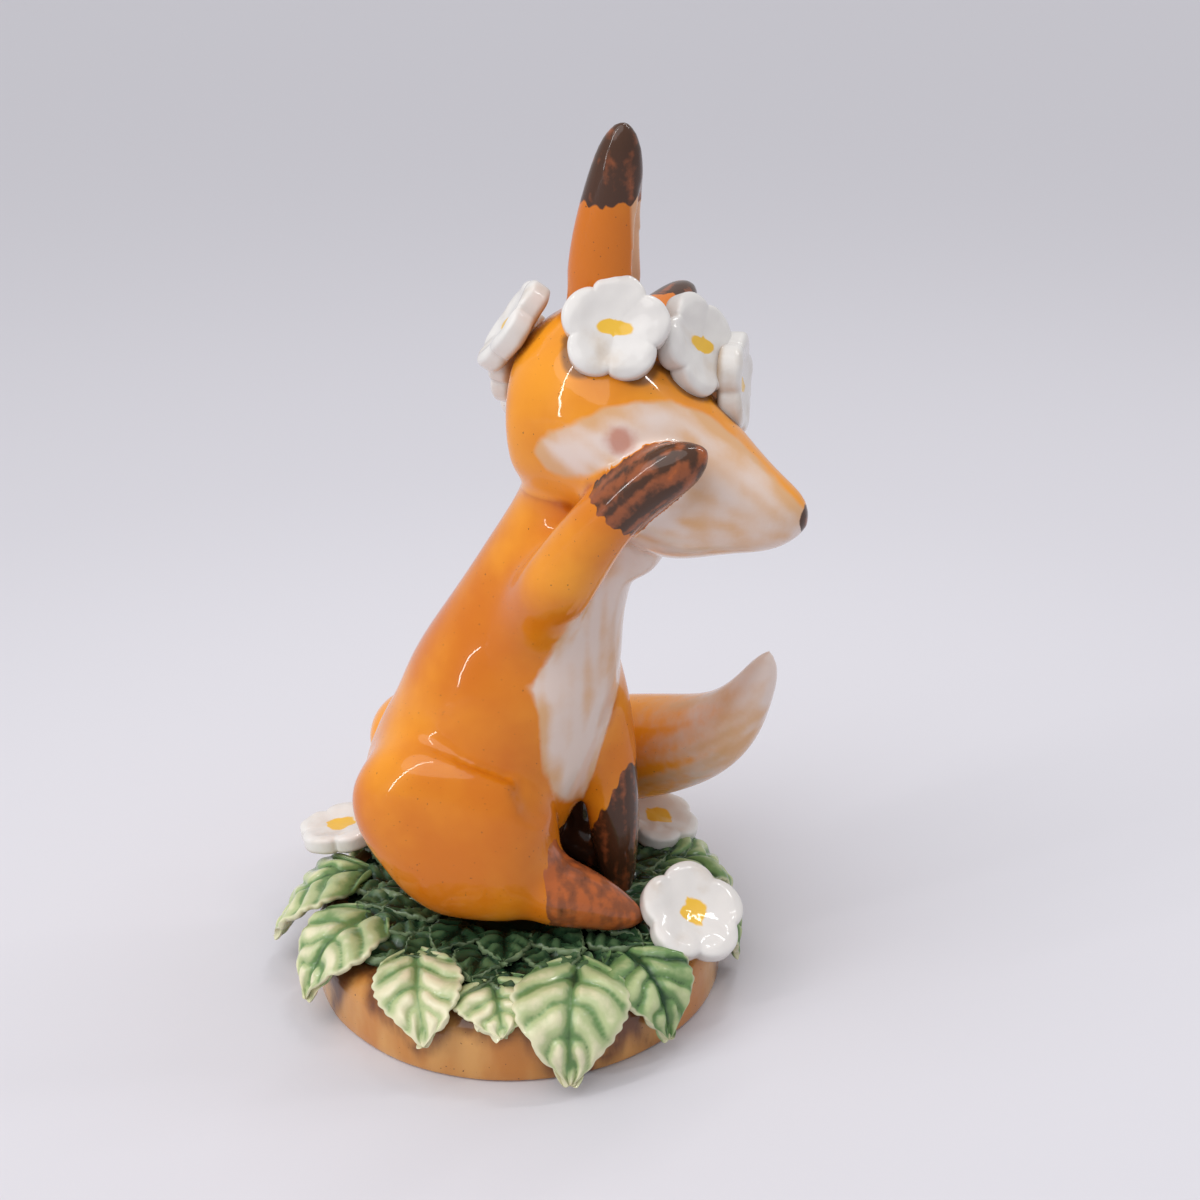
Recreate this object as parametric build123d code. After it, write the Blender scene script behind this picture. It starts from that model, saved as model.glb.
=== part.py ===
from build123d import *
from math import cos, pi, radians, sin
import os

# Glazed ceramic fox sitting on a round plinth, with a wreath of flowers on its tilted head.
# Millimetres. +X is the fox's front, +Y its left side and +Z up.
# The origin is the centre of the plinth's flat underside.

# Plinth: a low drum with a rounded shoulder, and the bed of foliage pressed on its top
PLINTH_RADIUS = 32.5
PLINTH_HEIGHT = 10.5
PLINTH_SHOULDER = 4.0
PLINTH_FOOT_EDGE = 0.8
BED_INSET = 5.5
BED_EDGE = 0.8
BED_THICKNESS = 2.0

# Leaves: clay leaves bent over the shoulder, toothed along the margin, with pressed veins
LEAF_SLOPE = 45.0
LEAF_TEETH = 5
TOOTH_HEIGHT = 0.55
TOOTH_LEAN = 0.62
VEIN_PAIRS = 3
VEIN_WIDTH = 0.9
VEIN_DEPTH = 0.6
VEIN_MARGIN = 1.4
VEIN_FIRST = 0.6
VEIN_RISE = 0.22

# Flowers: five round petals with a shallow dished middle
PETALS = 5
PETAL_CENTRE_SHARE = 0.47
CROWN_FLOWER_DIAMETER = 14.2
CROWN_FLOWER_THICKNESS = 3.0
BASE_FLOWER_THICKNESS = 3.4
PETAL_EDGE_ROUND = 1.1
PETAL_NOTCH_ROUND = 0.8
DISH_DEPTH = 0.9
DISH_MARGIN = 0.4

# Fox: heights of its pieces are measured up from the seat on the bed
SEAT_HEIGHT = PLINTH_HEIGHT + BED_THICKNESS
HEAD_CENTRE = (14.0, 0.0, 78.5)
HEAD_ROLL = 30.0
CROWN_RING_FORWARD = 0.4
LEFT_FOOT_BACK = 6.0
LEFT_EAR_BACK = 2.4

# Trunk from the seat to the neck: height, centre forward, half length, half width
TORSO_STATIONS = [
    (-2.0, -8.2, 10.0, 9.6),
    (5.0, -9.6, 14.6, 12.4),
    (12.0, -9.6, 17.2, 14.4),
    (19.0, -7.2, 17.6, 15.0),
    (26.0, -4.6, 17.4, 14.6),
    (33.0, -1.9, 16.5, 13.8),
    (40.0, 0.5, 15.6, 12.8),
    (47.0, 2.9, 13.6, 11.4),
    (54.0, 6.0, 12.0, 10.2),
    (61.0, 9.3, 10.8, 9.4),
    (68.0, 11.4, 9.2, 8.8),
]

# Head in its own upright frame: forward, up, half width, half height
HEAD_BACK = (-15.0, -0.8)
HEAD_STATIONS = [
    (-10.6, 0.0, 10.0, 9.6),
    (-4.6, 0.8, 14.8, 13.7),
    (1.4, -0.2, 16.2, 14.8),
    (7.6, -3.8, 15.2, 14.2),
    (13.8, -7.1, 12.0, 11.6),
    (20.0, -9.5, 8.3, 8.0),
    (25.6, -11.5, 5.0, 4.8),
]
NOSE_TIP = (29.6, -12.7)

# Limbs, ear, ear hollow and tail run from a tip through stations to a tip.
# Right ear in the head's frame: forward, left, up, half length fore and aft, half thickness
EAR = [
    (1.6, -2.6, 2.4, 0.0, 0.0),
    (1.6, -7.4, 7.2, 6.0, 4.8),
    (1.6, -12.2, 12.2, 5.2, 4.2),
    (2.2, -17.0, 17.1, 4.6, 3.6),
    (3.4, -21.8, 22.0, 3.7, 3.0),
    (4.7, -25.9, 26.3, 2.6, 2.2),
    (5.5, -28.6, 29.0, 0.0, 0.0),
]

# Hollow of the right ear's inner side in the head's frame: forward, left, up, radius
EAR_HOLLOW = [
    (6.4, -6.4, 6.4, 0.0),
    (6.8, -11.0, 11.0, 2.3),
    (6.7, -15.4, 15.5, 2.1),
    (7.0, -19.8, 20.0, 1.5),
    (7.4, -24.0, 24.4, 0.0),
]

# Legs and tail: forward, left, up from the seat, half size
RAISED_FORELEG = [
    (-1.5, -1.0, 37.0, 0.0),
    (3.0, -6.0, 45.0, 6.0),
    (8.2, -10.6, 53.6, 5.4),
    (14.0, -14.0, 62.0, 4.6),
    (19.8, -16.2, 69.9, 3.9),
    (26.6, -17.2, 76.0, 3.5),
    (32.4, -17.6, 79.6, 0.0),
]
STANDING_FORELEG = [
    (4.5, 7.0, 49.0, 0.0),
    (9.0, 5.8, 38.0, 5.6),
    (12.6, 4.9, 26.5, 4.7),
    (14.2, 4.2, 14.5, 4.0),
    (15.4, 3.5, 3.5, 2.7),
    (16.0, 3.0, -5.0, 0.0),
]
HAUNCH_CENTRE = (-6.6, -9.4, 16.9)
HAUNCH_HALF_SIZES = (15.8, 10.0, 15.0)
HAUNCH_PITCH = 30.0
HIND_FOOT = [
    (-3.0, -8.6, 10.8, 0.0),
    (2.5, -9.6, 9.6, 4.9),
    (8.0, -10.6, 7.6, 5.4),
    (13.4, -9.2, 5.4, 4.4),
    (18.4, -7.6, 3.2, 2.9),
    (22.4, -6.4, 1.7, 0.0),
]
TAIL = [
    (-11.0, 4.2, 11.6, 0.0),
    (-17.6, 6.6, 13.2, 5.6),
    (-23.1, 11.3, 15.0, 7.0),
    (-24.3, 18.3, 14.6, 7.6),
    (-20.7, 24.5, 12.8, 8.0),
    (-14.9, 27.0, 11.4, 8.4),
    (-6.5, 28.4, 10.6, 8.9),
    (2.0, 28.6, 10.6, 9.0),
    (10.0, 27.0, 12.4, 8.9),
    (17.4, 24.2, 15.6, 8.2),
    (24.4, 20.7, 19.8, 6.9),
    (30.4, 17.2, 25.8, 4.9),
    (34.2, 15.0, 32.6, 3.0),
    (36.4, 13.6, 39.4, 0.0),
]

# Wreath: angle round the ring, height in the head's frame, distance of the back from the head,
# lean of the face upwards and turn of the petals
CROWN_FLOWERS = [
    (2.0, 5.5, 3.0, 4.0, 10.0),
    (-29.0, 7.8, 2.6, 8.0, 30.0),
    (-76.0, 7.0, 0.6, -14.0, 0.0),
    (-148.0, 8.4, 0.4, 32.0, 20.0),
    (-180.0, 7.2, 1.4, 12.0, 30.0),
    (145.0, 5.6, 0.4, 10.0, 8.0),
    (107.0, 6.0, -0.2, -4.0, 52.0),
    (71.0, 6.8, 0.4, -12.0, 25.0),
    (37.0, 6.6, 1.6, 8.0, 60.0),
]

# Base flowers: bearing of the place, its distance in from the plinth's rim, height of the back
# above the plinth, diameter, bearing of the tilt, tilt from lying flat, turn of the petals
BASE_FLOWERS = [
    (173.0, -0.1, 2.9, 14.6, 178.0, 8.0, 0.0),
    (54.0, 4.1, 2.0, 14.4, -20.0, 12.0, 20.0),
    (-6.0, 3.9, 2.8, 16.6, -42.0, 34.0, 14.0),
]

# Leaves, uppermost first: bearing of the stem, its distance in from the plinth's rim, bearing of
# the tip, length, width, thickness
LEAVES = [
    (-43.0, 12.9, -79.0, 18.8, 16.4, 3.6),
    (-29.0, 12.1, -40.0, 16.0, 13.6, 2.6),
    (-120.0, 11.7, -66.0, 16.0, 13.0, 2.8),
    (-150.0, 12.5, -112.0, 17.2, 15.4, 3.4),
    (-178.0, 9.5, -140.0, 17.0, 16.4, 6.0),
    (158.0, 11.0, 165.0, 15.5, 14.5, 2.6),
    (126.0, 11.5, 122.0, 15.0, 14.0, 2.6),
    (94.0, 12.0, 90.0, 15.5, 14.5, 2.6),
    (63.0, 11.5, 60.0, 15.0, 14.0, 2.6),
    (34.0, 11.0, 30.0, 15.0, 14.0, 2.6),
    (6.0, 10.0, 4.0, 14.5, 13.0, 2.6),
    (-84.0, 11.5, -61.0, 10.6, 12.0, 1.7),
    (142.0, 10.5, 144.0, 15.0, 12.0, 1.7),
    (110.0, 10.5, 106.0, 15.0, 12.0, 1.7),
    (78.0, 10.5, 75.0, 15.0, 12.0, 1.7),
    (48.0, 10.5, 45.0, 15.0, 12.0, 1.7),
    (20.0, 10.0, 17.0, 14.0, 12.0, 1.7),
]

# Reach of the cutting outlines of leaves to both sides of their plane
CUT_REACH = 40.0


def oval(centre, normal, side, half_side, half_across):
    """Oval face, half_side long along the side direction and no longer across it."""
    plane = Plane(origin=centre, x_dir=side, z_dir=normal)
    return Face(Wire([Edge.make_ellipse(half_side, half_across, plane=plane)]))


def limb(stations, side):
    """Tapering limb lofted from its first tip through ovals along its curve to its last tip."""
    points = [Vector(*station[:3]) for station in stations]
    sections = [Vertex(*points[0])]
    for before, point, after, station in zip(points, points[1:], points[2:], stations[1:]):
        sections.append(oval(point, after - before, side, station[3], station[-1]))
    sections.append(Vertex(*points[-1]))
    return loft(sections)


def boxes_meet(one, other):
    """True where the bounding boxes of two shapes overlap."""
    a = one.bounding_box(optimal=False)
    b = other.bounding_box(optimal=False)
    apart = [
        a.min.X > b.max.X, b.min.X > a.max.X,
        a.min.Y > b.max.Y, b.min.Y > a.max.Y,
        a.min.Z > b.max.Z, b.min.Z > a.max.Z,
    ]
    return not any(apart)


def trimmed(piece, neighbours):
    """The piece cut back to the faces of its neighbours, without the offcuts."""
    for neighbour in neighbours:
        if boxes_meet(piece, neighbour):
            piece = piece - neighbour
    return max(piece.solids(), key=lambda solid: solid.volume)


def plinth_form(layer):
    """Drum of the plinth, grown by the thickness of a layer on its top, shoulder and side."""
    height = PLINTH_HEIGHT + layer
    drum = Pos(0, 0, height / 2) * Cylinder(PLINTH_RADIUS + layer, height)
    return fillet(drum.edges().group_by(Axis.Z)[-1], PLINTH_SHOULDER + layer)


def make_bed():
    """Low domed cushion of foliage in the middle of the plinth's top."""
    rise = BED_THICKNESS - BED_EDGE
    radius = PLINTH_RADIUS - BED_INSET
    ball_radius = (radius ** 2 + rise ** 2) / (2 * rise)
    disc = Pos(0, 0, PLINTH_HEIGHT + BED_THICKNESS / 2) * Cylinder(radius, BED_THICKNESS)
    return disc & Pos(0, 0, SEAT_HEIGHT - ball_radius) * Rot(90, 0, 0) * Sphere(ball_radius)


def margin(share, length, width):
    """Point on the right margin of a leaf, at a share of the way from its stem to its tip."""
    return (width / 2 * sin(pi * share ** 0.75), length * share)


def leaf_outline(length, width):
    """Ovate leaf along +Y from the stem at the origin, with teeth that lean to the tip."""
    edges = []
    for tooth in range(LEAF_TEETH):
        start = margin(tooth / LEAF_TEETH, length, width)
        end = margin((tooth + 1) / LEAF_TEETH, length, width)
        crest = margin((tooth + TOOTH_LEAN) / LEAF_TEETH, length, width)
        for hand in (1, -1):
            edges.append(ThreePointArc(
                (hand * start[0], start[1]),
                (hand * (crest[0] + TOOTH_HEIGHT), crest[1]),
                (hand * end[0], end[1]),
            ))
    return make_face(edges)


def vein_outline(length, width):
    """Tapering grooves of the midrib and of the side veins that rise from it."""
    half = VEIN_WIDTH / 2
    tip = length - VEIN_MARGIN
    grooves = make_face(Polyline((-half, VEIN_MARGIN), (half, VEIN_MARGIN), (0, tip), close=True))
    for pair in range(VEIN_PAIRS):
        root = (pair + VEIN_FIRST) / (VEIN_PAIRS + 1)
        edge_x, edge_y = margin(root + VEIN_RISE, length, width)
        for hand in (1, -1):
            grooves += make_face(Polyline(
                (0, length * root),
                (0, length * root + VEIN_WIDTH),
                (hand * (edge_x - VEIN_MARGIN), edge_y),
                close=True,
            ))
    return grooves


def make_leaf(stem_bearing, stem_inset, tip_bearing, length, width, thickness):
    """Leaf bent over the plinth's shoulder, cut from a layer of clay, with its veins pressed in."""
    bearing = radians(stem_bearing)
    heading = radians(tip_bearing)
    slope = radians(LEAF_SLOPE)
    stem_radius = PLINTH_RADIUS - stem_inset
    stem = (stem_radius * cos(bearing), stem_radius * sin(bearing), PLINTH_HEIGHT)
    along = Vector(cos(heading) * cos(slope), sin(heading) * cos(slope), -sin(slope))
    outward = Vector(cos(heading) * sin(slope), sin(heading) * sin(slope), cos(slope))
    place = Location(Plane(origin=stem, x_dir=along.cross(outward), z_dir=outward))
    blank = place * extrude(leaf_outline(length, width), CUT_REACH, both=True)
    veins = place * extrude(vein_outline(length, width), CUT_REACH, both=True)
    leaf = (blank & plinth_form(thickness)) - plinth_form(0)
    return leaf - (veins - plinth_form(thickness - VEIN_DEPTH))


def make_flower(diameter, thickness):
    """Five-petalled flower lying on its back at the origin, with rounded petals and a dished face."""
    centre_distance = PETAL_CENTRE_SHARE * diameter / 2
    petal_radius = diameter / 2 - centre_distance
    outline = Circle(centre_distance)
    for petal in range(PETALS):
        outline += Rot(0, 0, 360 / PETALS * petal) * Pos(centre_distance, 0) * Circle(petal_radius)
    outline = fillet(outline.vertices(), PETAL_NOTCH_ROUND)
    flower = extrude(outline, thickness)
    flower = fillet(flower.edges().group_by(Axis.Z)[-1], PETAL_EDGE_ROUND)
    dish_radius = centre_distance - DISH_MARGIN
    ball_radius = (dish_radius ** 2 + DISH_DEPTH ** 2) / (2 * DISH_DEPTH)
    return flower - Pos(0, 0, thickness - DISH_DEPTH + ball_radius) * Sphere(ball_radius)


def make_torso():
    """Sitting trunk and neck, lofted through level ovals."""
    sections = []
    for height, forward, half_length, half_width in TORSO_STATIONS:
        centre = (forward, 0, SEAT_HEIGHT + height)
        sections.append(oval(centre, (0, 0, 1), (1, 0, 0), half_length, half_width))
    return loft(sections)


def head_plane():
    """Frame of the head: forward, left and up, tilted over to the left."""
    roll = radians(HEAD_ROLL)
    centre = (HEAD_CENTRE[0], HEAD_CENTRE[1], SEAT_HEIGHT + HEAD_CENTRE[2])
    return Plane(origin=centre, x_dir=(1, 0, 0), z_dir=(0, sin(roll), cos(roll)))


def make_head():
    """Round cranium running out into a pointed muzzle, lofted through upright ovals."""
    sections = [Vertex(HEAD_BACK[0], 0, HEAD_BACK[1])]
    for forward, up, half_width, half_height in HEAD_STATIONS:
        sections.append(oval((forward, 0, up), (1, 0, 0), (0, 1, 0), half_width, half_height))
    sections.append(Vertex(NOSE_TIP[0], 0, NOSE_TIP[1]))
    return Location(head_plane()) * loft(sections)


def make_ear():
    """Right ear in the head's frame, with the hollow of its inner side facing forward."""
    forward = Vector(1, 0, 0)
    return limb(EAR, forward) - limb(EAR_HOLLOW, forward)


def make_haunch():
    """Rounded right thigh, long from the hip down to the knee."""
    egg = scale(Sphere(1), by=HAUNCH_HALF_SIZES)
    return Pos(*HAUNCH_CENTRE) * Rot(0, HAUNCH_PITCH, 0) * egg


def crown_place(head, angle, up, out, lean, turn):
    """Seat of a wreath flower, out from where its ray from the ring's centre leaves the head."""
    frame = head_plane()
    ring_centre = frame.from_local_coords((CROWN_RING_FORWARD, 0, up))
    bearing = radians(angle)
    rise = radians(lean)
    outward = (frame.x_dir * cos(bearing) + frame.y_dir * sin(bearing)).normalized()
    facing = outward * cos(rise) + frame.z_dir * sin(rise)
    distances = []
    for face in head.faces():
        for point, normal in face.find_intersection_points(Axis(ring_centre, outward)):
            distances.append((point - ring_centre).dot(outward))
    seat = ring_centre + outward * (max(distances) + out)
    return Location(Plane(origin=seat, x_dir=frame.z_dir, z_dir=facing)) * Rot(0, 0, turn)


def base_place(bearing, inset, height, tilt_bearing, tilt, turn):
    """Seat of a flower at the edge of the plinth, tilted towards a bearing."""
    angle = radians(bearing)
    lean = radians(tilt_bearing)
    radius = PLINTH_RADIUS - inset
    centre = (radius * cos(angle), radius * sin(angle), PLINTH_HEIGHT + height)
    facing = (cos(lean) * sin(radians(tilt)), sin(lean) * sin(radians(tilt)), cos(radians(tilt)))
    side = (cos(lean) * cos(radians(tilt)), sin(lean) * cos(radians(tilt)), -sin(radians(tilt)))
    return Location(Plane(origin=centre, x_dir=side, z_dir=facing)) * Rot(0, 0, turn)


def make_pieces():
    """All pieces by name, each cut back to the pieces that it is joined to."""
    seat = Pos(0, 0, SEAT_HEIGHT)
    forward = Vector(1, 0, 0)
    upward = Vector(0, 0, 1)
    plinth = plinth_form(0)
    plinth = fillet(plinth.edges().group_by(Axis.Z)[0], PLINTH_FOOT_EDGE)
    bed = make_bed()
    ground = [bed, plinth]

    head = make_head()
    torso = trimmed(make_torso(), ground + [head])
    haunch = seat * make_haunch()
    foot = seat * limb(HIND_FOOT, upward)
    right_haunch = trimmed(haunch, ground + [torso])
    left_haunch = trimmed(mirror(haunch, about=Plane.XZ), ground + [torso])
    right_foot = trimmed(foot, ground + [torso, right_haunch])
    left_foot = Pos(-LEFT_FOOT_BACK, 0, 0) * mirror(foot, about=Plane.XZ)
    left_foot = trimmed(left_foot, ground + [torso, left_haunch])
    standing = seat * limb(STANDING_FORELEG, forward)
    standing = trimmed(standing, ground + [torso, left_haunch, left_foot, right_foot])
    raised = trimmed(seat * limb(RAISED_FORELEG, forward), [torso, head])
    tail = trimmed(seat * limb(TAIL, upward), ground + [torso, left_haunch, left_foot])
    ear = make_ear()
    right_ear = trimmed(Location(head_plane()) * ear, [head])
    left_ear = Pos(-LEFT_EAR_BACK, 0, 0) * mirror(ear, about=Plane.XZ)
    left_ear = trimmed(Location(head_plane()) * left_ear, [head])

    fox = {
        "torso": torso,
        "head": head,
        "right_ear": right_ear,
        "left_ear": left_ear,
        "right_foreleg": raised,
        "left_foreleg": standing,
        "right_haunch": right_haunch,
        "left_haunch": left_haunch,
        "right_hind_foot": right_foot,
        "left_hind_foot": left_foot,
        "tail": tail,
    }
    pieces = {"plinth": plinth, "foliage_bed": bed}
    pieces.update(fox)

    crown = []
    crown_flower = make_flower(CROWN_FLOWER_DIAMETER, CROWN_FLOWER_THICKNESS)
    for row in CROWN_FLOWERS:
        flower = crown_place(head, *row) * crown_flower
        crown.append(trimmed(flower, [head, right_ear, left_ear, raised] + crown))
    for number, flower in enumerate(crown, start=1):
        pieces[f"crown_flower_{number}"] = flower

    leaves = []
    for row in LEAVES:
        leaves.append(trimmed(make_leaf(*row), [bed] + list(fox.values()) + leaves))
    for number, leaf in enumerate(leaves, start=1):
        pieces[f"leaf_{number:02d}"] = leaf

    for number, row in enumerate(BASE_FLOWERS, start=1):
        bearing, inset, height, diameter, tilt_bearing, tilt, turn = row
        flower = make_flower(diameter, BASE_FLOWER_THICKNESS)
        flower = base_place(bearing, inset, height, tilt_bearing, tilt, turn) * flower
        pieces[f"base_flower_{number}"] = trimmed(flower, ground + leaves + list(fox.values()))
    return pieces


os.makedirs("parts", exist_ok=True)
for name, piece in make_pieces().items():
    export_step(piece, f"parts/{name}.step")
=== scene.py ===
import bpy
from math import atan2, cos, degrees, exp, hypot, pi, radians, sin
from mathutils import Matrix, Vector, bvhtree, kdtree, noise


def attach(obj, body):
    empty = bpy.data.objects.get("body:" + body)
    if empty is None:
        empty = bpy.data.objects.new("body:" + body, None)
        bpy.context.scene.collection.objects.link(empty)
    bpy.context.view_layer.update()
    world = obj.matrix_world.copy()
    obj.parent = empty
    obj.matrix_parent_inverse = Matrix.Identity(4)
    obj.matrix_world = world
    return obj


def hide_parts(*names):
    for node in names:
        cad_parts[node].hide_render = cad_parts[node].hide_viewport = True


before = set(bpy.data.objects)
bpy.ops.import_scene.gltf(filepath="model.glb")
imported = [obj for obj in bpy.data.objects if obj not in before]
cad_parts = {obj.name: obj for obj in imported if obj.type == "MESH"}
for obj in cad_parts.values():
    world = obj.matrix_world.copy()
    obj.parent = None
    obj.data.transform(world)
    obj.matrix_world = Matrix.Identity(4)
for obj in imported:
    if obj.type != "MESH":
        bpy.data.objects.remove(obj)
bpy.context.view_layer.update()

# Plinth: a low round drum of buff clay under a satin glaze, made with a rounded shoulder.
# It stands on its flat underside, and its glaze is painted browner close to the leaves pressed on it.
plinth_radius = 0.0325
plinth_height = 0.0105
plinth_shoulder = 0.004
plinth_foot_edge = 0.0008
plinth_facets = 96
plinth_wobble = 0.00018
plinth_wobble_scale = 90
plinth_wobble_start = 0.5
plinth_crease_angle = radians(40)
level_tolerance = 1e-5
stain_reach = 0.0060

bpy.ops.object.select_all(action="DESELECT")
bpy.ops.mesh.primitive_cylinder_add(
    vertices=plinth_facets, radius=plinth_radius, depth=plinth_height, location=(0, 0, plinth_height / 2))
plinth = bpy.context.object
plinth.name = "plinth_clay"
bpy.ops.object.transform_apply(location=True, rotation=True, scale=True)


def select_edges(piece, wanted):
    """Leave only the edges of a piece selected whose two ends are wanted places."""
    bpy.ops.object.mode_set(mode="EDIT")
    bpy.ops.mesh.select_mode(type="EDGE")
    bpy.ops.mesh.select_all(action="DESELECT")
    bpy.ops.object.mode_set(mode="OBJECT")
    for edge in piece.data.edges:
        edge.select = all(wanted(piece.data.vertices[end].co) for end in edge.vertices)
    bpy.ops.object.mode_set(mode="EDIT")


select_edges(plinth, lambda place: place.z > plinth_height - level_tolerance)
bpy.ops.mesh.bevel(offset=plinth_shoulder, segments=8, profile=0.5)
bpy.ops.object.mode_set(mode="OBJECT")
select_edges(plinth, lambda place: place.z < level_tolerance)
bpy.ops.mesh.bevel(offset=plinth_foot_edge, segments=3, profile=0.5)
bpy.ops.object.mode_set(mode="OBJECT")
finer = plinth.modifiers.new("finer", "SUBSURF")
finer.subdivision_type = "SIMPLE"
finer.levels = finer.render_levels = 2
bpy.ops.object.modifier_apply(modifier=finer.name)
for vertex in plinth.data.vertices:
    round_share = hypot(vertex.co.x, vertex.co.y) / plinth_radius
    if vertex.co.z > level_tolerance and round_share > plinth_wobble_start:
        swell = plinth_wobble * noise.noise(vertex.co * plinth_wobble_scale)
        vertex.co.x *= 1 + swell / plinth_radius
        vertex.co.y *= 1 + swell / plinth_radius
bpy.ops.object.shade_smooth_by_angle(angle=plinth_crease_angle)


def tree_of(meshes):
    """Search tree over the points of some meshes, each point once."""
    places = {tuple(round(part, 5) for part in vertex.co) for mesh in meshes for vertex in mesh.vertices}
    tree = kdtree.KDTree(len(places))
    for index, place in enumerate(sorted(places)):
        tree.insert(place, index)
    tree.balance()
    return tree


def write_attribute(piece, name, values):
    """Store a value for each point of a piece, for its glaze to read."""
    layer = piece.data.attributes.new(name, "FLOAT", "POINT")
    layer.data.foreach_set("value", values)


leaf_nodes = sorted(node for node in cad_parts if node.startswith("leaf_"))
leaf_tree = tree_of([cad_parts[node].data for node in leaf_nodes])
write_attribute(plinth, "stain", [
    max(0.0, 1 - leaf_tree.find(vertex.co)[2] / stain_reach) for vertex in plinth.data.vertices])
glaze_specular = 0.1
glaze_coat_roughness = 0.04


def new_glaze(name, roughness, coat):
    """Material of a glazed piece, coated with clear glass: returns it with its shader."""
    material = bpy.data.materials.new(name)
    material.use_nodes = True
    shader = material.node_tree.nodes["Principled BSDF"]
    shader.inputs["Roughness"].default_value = roughness
    shader.inputs["Specular IOR Level"].default_value = glaze_specular
    shader.inputs["Coat Weight"].default_value = coat
    shader.inputs["Coat Roughness"].default_value = glaze_coat_roughness
    return material, shader


def add_node(material, kind, **settings):
    """New node in a material, with the given settings and input values."""
    node = material.node_tree.nodes.new(kind)
    for key, value in settings.items():
        if hasattr(node, key):
            setattr(node, key, value)
        else:
            node.inputs[key.replace("_", " ")].default_value = value
    return node


def wire(material, output, target):
    """Join an output socket to an input socket."""
    material.node_tree.links.new(output, target)


def noise_value(material, scale, detail=3.0, stretch=(1, 1, 1)):
    """Noise over the piece, stretched along its axes: the output socket."""
    place = add_node(material, "ShaderNodeTexCoord")
    mapping = add_node(material, "ShaderNodeMapping")
    mapping.inputs["Scale"].default_value = stretch
    cloud = add_node(material, "ShaderNodeTexNoise", Scale=scale, Detail=detail)
    wire(material, place.outputs["Object"], mapping.inputs["Vector"])
    wire(material, mapping.outputs["Vector"], cloud.inputs["Vector"])
    return cloud.outputs["Fac"]


def attribute_value(material, name):
    """Value stored on the points of the piece: the output socket."""
    return add_node(material, "ShaderNodeAttribute", attribute_name=name).outputs["Fac"]


def ramp(material, value, low, high):
    """Value spread from 0 at low to 1 at high, smoothly: the output socket."""
    node = add_node(material, "ShaderNodeMapRange", interpolation_type="SMOOTHSTEP")
    node.inputs["From Min"].default_value = low
    node.inputs["From Max"].default_value = high
    wire(material, value, node.inputs["Value"])
    return node.outputs["Result"]


def combine(material, operation, first, second):
    """Sum, product or other of two values, the second of which may be a plain number."""
    node = add_node(material, "ShaderNodeMath", operation=operation)
    wire(material, first, node.inputs[0])
    if isinstance(second, (int, float)):
        node.inputs[1].default_value = second
    else:
        wire(material, second, node.inputs[1])
    return node.outputs[0]


def share_of(material, value, share):
    """Value made smaller or larger by a plain number: the output socket."""
    return combine(material, "MULTIPLY", value, share)


def total(material, first, *others):
    """Sum of several values: the output socket."""
    for other in others:
        first = combine(material, "ADD", first, other)
    return first


def paint(material, under, over, cover):
    """Colour over another where cover is 1: the output socket."""
    node = add_node(material, "ShaderNodeMix", data_type="RGBA")
    colours = [socket for socket in node.inputs if socket.type == "RGBA"]
    for value, socket in zip((under, over), colours):
        if isinstance(value, tuple):
            socket.default_value = (*value, 1)
        else:
            wire(material, value, socket)
    wire(material, cover, node.inputs[0])
    return [socket for socket in node.outputs if socket.type == "RGBA"][0]


def bump(material, shader, height, distance, strength):
    """Fine relief of the glaze."""
    node = add_node(material, "ShaderNodeBump", Distance=distance, Strength=strength)
    wire(material, height, node.inputs["Height"])
    wire(material, node.outputs["Normal"], shader.inputs["Normal"])


plinth_buff = (0.53, 0.20, 0.040)
plinth_pale = (0.64, 0.32, 0.095)
plinth_stain = (0.15, 0.048, 0.016)
plinth_speck = (0.10, 0.045, 0.022)
plinth_roughness = 0.35
plinth_coat = 0.8
plinth_ripple_depth = 0.0004
plinth_ripple_strength = 0.25
plinth_glaze, plinth_shader = new_glaze("plinth_glaze", plinth_roughness, plinth_coat)
plinth_clouds = noise_value(plinth_glaze, 110, 5, (1, 1, 0.4))
plinth_streaks = noise_value(plinth_glaze, 140, 5, (1, 1, 0.35))
plinth_grit = noise_value(plinth_glaze, 2200, 1)
plinth_ripple = noise_value(plinth_glaze, 350, 4)
# Browner in streaks close to the leaves pressed on the plinth.
plinth_stains = combine(plinth_glaze, "MULTIPLY", attribute_value(plinth_glaze, "stain"), plinth_streaks)
plinth_colour = paint(plinth_glaze, plinth_buff, plinth_pale, ramp(plinth_glaze, plinth_clouds, 0.38, 0.66))
plinth_colour = paint(
    plinth_glaze, plinth_colour, plinth_stain, ramp(plinth_glaze, plinth_stains, 0.28, 0.56))
plinth_colour = paint(
    plinth_glaze, plinth_colour, plinth_speck, ramp(plinth_glaze, plinth_grit, 0.75, 0.78))
wire(plinth_glaze, plinth_colour, plinth_shader.inputs["Base Color"])
bump(plinth_glaze, plinth_shader, plinth_ripple, plinth_ripple_depth, plinth_ripple_strength)
plinth.data.materials.append(plinth_glaze)
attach(plinth, "root")
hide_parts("plinth")

# Foliage bed: a cushion of small dark leaves modelled over the top of the plinth round the fox's
# seat. Each one is a scrap of rolled clay with pressed veins, under a deep pool of green glaze.
bed_radius = 0.0272
bed_sunk = 0.0006
bed_rim_height = 0.0006
bed_seat_height = 0.0014
bed_lumps = 0.0004
bed_lump_scale = 300
# Small leaves in mm. Each ring: radius of the stems, number of leaves and height over the plinth
sprig_rings = ((11.0, 13, 2.3), (15.0, 15, 2.0), (19.0, 19, 1.6))
sprig_length = 10.5
sprig_width = 8.4
sprig_slope = radians(8)
sprig_flare = 0.5
sprig_grid_rows = 27
sprig_scatter = 9
sprig_swing = 50
sprig_darkness = 0.62
sprig_darkness_spread = 0.5

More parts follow.
